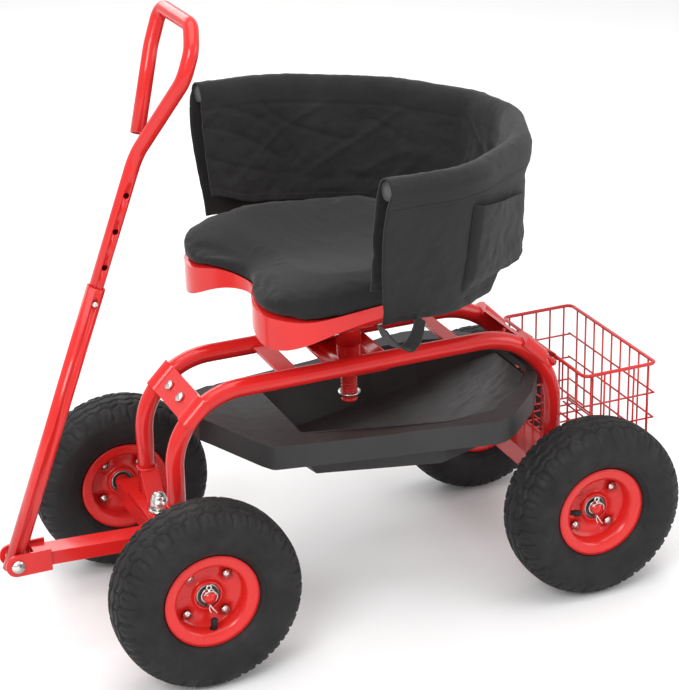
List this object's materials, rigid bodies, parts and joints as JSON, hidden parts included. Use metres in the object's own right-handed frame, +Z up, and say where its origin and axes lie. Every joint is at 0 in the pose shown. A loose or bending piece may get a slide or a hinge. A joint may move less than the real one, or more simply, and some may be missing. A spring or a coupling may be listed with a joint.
{
  "type": "garden cart",
  "caption": "Rolling garden work seat with a steering draw handle, a height-adjustable swivel seat, a tool tray, a wire basket and a saddle bag on the backrest hoop.",
  "frame": {"origin": "on the floor, on the centre plane, midway between the axles and under the seat screw", "axes": "+X towards the handle, +Y to the sitter's left, +Z up"},
  "size_m": [0.9451, 0.5714, 0.8645],
  "materials": {
    "tyre": "matt black moulded rubber",
    "rim_paint": "gloss red paint",
    "frame_paint": "gloss red paint",
    "basket_paint": "gloss red coated wire",
    "bearing_steel": "pale grey ground steel",
    "zinc": "bright zinc plate",
    "tray_plastic": "satin charcoal",
    "seat_fabric": "matt black fine knit",
    "bag_fabric": "matt black woven polyester",
    "webbing": "black ribbed webbing",
    "plug_plastic": "dark grey moulded"
  },
  "bodies": {
    "frame": {"left_rail": "frame_paint", "right_rail": "frame_paint", "front_yoke": "frame_paint", "front_cross_bracket": "frame_paint", "rear_cross_bracket": "frame_paint", "front_crossbar": "frame_paint", "rear_crossbar": "frame_paint", "basket_bar": "frame_paint", "seat_mount_plate": "frame_paint", "rear_axle_beam": "frame_paint", "rear_axle": "frame_paint", "tray": "tray_plastic", "frame_fasteners": "zinc"},
    "steering": {"front_axle_beam": "frame_paint", "front_axle": "frame_paint", "king_pin": "zinc", "front_axle_fasteners": "zinc", "draw_bar": "frame_paint", "handle_pivot_pin": "zinc"},
    "handle": {"handle_lower_tube": "frame_paint"},
    "handle_extension": {"handle_upper_tube": "frame_paint"},
    "button": {"handle_button": "zinc"},
    "seat_post": {"seat_screw": "frame_paint", "stop_washer": "zinc"},
    "seat": {"seat_collar": "frame_paint", "seat_pan": "frame_paint", "seat_cushion": "seat_fabric", "seat_bolts": "zinc", "hoop_tube": "frame_paint", "hoop_plugs": "plug_plastic", "hoop_bracket": "frame_paint", "bag_outer": "bag_fabric", "bag_inner": "bag_fabric", "bag_strap": "webbing"},
    "basket": {"basket_rim": "basket_paint", "basket_front": "basket_paint", "basket_rear": "basket_paint", "basket_left": "basket_paint", "basket_right": "basket_paint", "basket_floor": "basket_paint"},
    "front_left_wheel": {"front_left_tyre": "tyre", "front_left_rim_outer": "rim_paint", "front_left_rim_inner": "rim_paint", "front_left_bearings": "bearing_steel", "front_left_rim_bolts": "zinc"},
    "front_right_wheel": {"front_right_tyre": "tyre", "front_right_rim_outer": "rim_paint", "front_right_rim_inner": "rim_paint", "front_right_bearings": "bearing_steel", "front_right_rim_bolts": "zinc"},
    "rear_left_wheel": {"rear_left_tyre": "tyre", "rear_left_rim_outer": "rim_paint", "rear_left_rim_inner": "rim_paint", "rear_left_bearings": "bearing_steel", "rear_left_rim_bolts": "zinc"},
    "rear_right_wheel": {"rear_right_tyre": "tyre", "rear_right_rim_outer": "rim_paint", "rear_right_rim_inner": "rim_paint", "rear_right_bearings": "bearing_steel", "rear_right_rim_bolts": "zinc"}
  },
  "joints": [
    {"name": "steering_turn", "type": "hinge", "parent": "frame", "child": "steering", "pos_m": [0.2905, 0, 0.162], "axis": [0, 0, 1], "range_deg": [-28, 28]},
    {"name": "front_left_roll", "type": "hinge", "parent": "steering", "child": "front_left_wheel", "pos_m": [0.2905, 0.186, 0.13], "axis": [0, 1, 0], "continuous": true},
    {"name": "front_right_roll", "type": "hinge", "parent": "steering", "child": "front_right_wheel", "pos_m": [0.2905, -0.186, 0.13], "axis": [0, 1, 0], "continuous": true},
    {"name": "rear_left_roll", "type": "hinge", "parent": "frame", "child": "rear_left_wheel", "pos_m": [-0.2905, 0.186, 0.13], "axis": [0, 1, 0], "continuous": true},
    {"name": "rear_right_roll", "type": "hinge", "parent": "frame", "child": "rear_right_wheel", "pos_m": [-0.2905, -0.186, 0.13], "axis": [0, 1, 0], "continuous": true},
    {"name": "handle_swing", "type": "hinge", "parent": "steering", "child": "handle", "pos_m": [0.4996, 0, 0.1352], "axis": [0, 1, 0], "range_deg": [0, 110]},
    {"name": "handle_slide", "type": "slide", "parent": "handle", "child": "handle_extension", "axis": [-0.3567, 0, 0.9342], "range_m": [-0.15, 0]},
    {"name": "button_press", "type": "slide", "parent": "handle", "child": "button", "axis": [0, -1, 0], "range_m": [0, 0.003], "stiffness_N_per_m": 400},
    {"name": "seat_lift", "type": "slide", "parent": "frame", "child": "seat_post", "axis": [0, 0, 1], "range_m": [0, 0.045]},
    {"name": "seat_swivel", "type": "hinge", "parent": "seat_post", "child": "seat", "pos_m": [0, 0, 0.38], "axis": [0, 0, 1], "range_deg": [-60, 50]},
    {"name": "basket_lift", "type": "slide", "parent": "frame", "child": "basket", "axis": [0, 0, 1], "range_m": [0, 0.12]}
  ]
}
